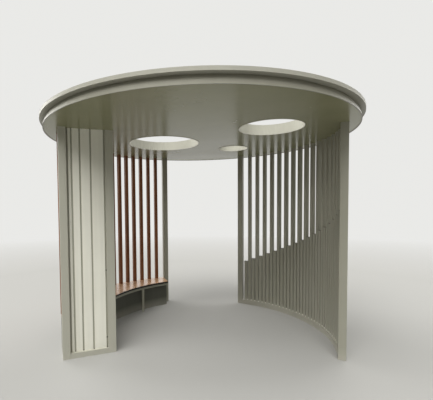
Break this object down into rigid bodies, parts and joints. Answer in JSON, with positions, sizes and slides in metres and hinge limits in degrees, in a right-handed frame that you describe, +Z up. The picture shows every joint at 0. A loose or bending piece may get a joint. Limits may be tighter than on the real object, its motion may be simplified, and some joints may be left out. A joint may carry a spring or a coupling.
{
  "type": "garden pergola",
  "caption": "Round garden pergola with a flat roof pierced by round openings, curved slat screens, a panelled wing wall and a curved bench.",
  "frame": {"origin": "on the ground under the centre of the round roof", "axes": "+Z up, -Y out of the front opening, +X to the right seen from the front"},
  "size_m": [3.6898, 3.6898, 2.637],
  "materials": {
    "bench_steel": "grey satin paint",
    "board_paint": "pale grey-beige satin paint",
    "ceiling_paint": "grey-beige gloss paint",
    "frame_paint": "grey-beige satin paint",
    "roof_paint": "grey-beige satin paint",
    "roof_sheet": "grey-beige paint, matt",
    "seat_wood": "brown wood grain, worn satin",
    "slat_wood": "brown wood grain, satin",
    "wing_paint": "grey-beige satin paint"
  },
  "bodies": {
    "root": {"bench_back_panel": "bench_steel", "bench_front_rim": "bench_steel", "bench_kick_panel": "bench_steel", "bench_legs": "bench_steel", "bench_packer": "bench_steel", "bench_seat": "seat_wood", "ceiling_panel": "ceiling_paint", "fascia_cove": "roof_paint", "fascia_lip": "roof_paint", "left_end_post": "frame_paint", "left_slats": "slat_wood", "opening_ring_large": "board_paint", "opening_ring_medium": "board_paint", "opening_ring_small": "board_paint", "right_back_post": "frame_paint", "right_front_post": "frame_paint", "right_infill_slats": "frame_paint", "right_kick_rail": "frame_paint", "right_tall_slats": "frame_paint", "roof_deck": "roof_sheet", "roof_joists": "roof_sheet", "wing_back_skin": "wing_paint", "wing_backing": "wing_paint", "wing_board_1": "board_paint", "wing_board_2": "board_paint", "wing_board_3": "board_paint", "wing_bottom_rail": "wing_paint", "wing_left_stile": "wing_paint", "wing_reveal": "board_paint", "wing_right_stile": "wing_paint"}
  },
  "joints": []
}
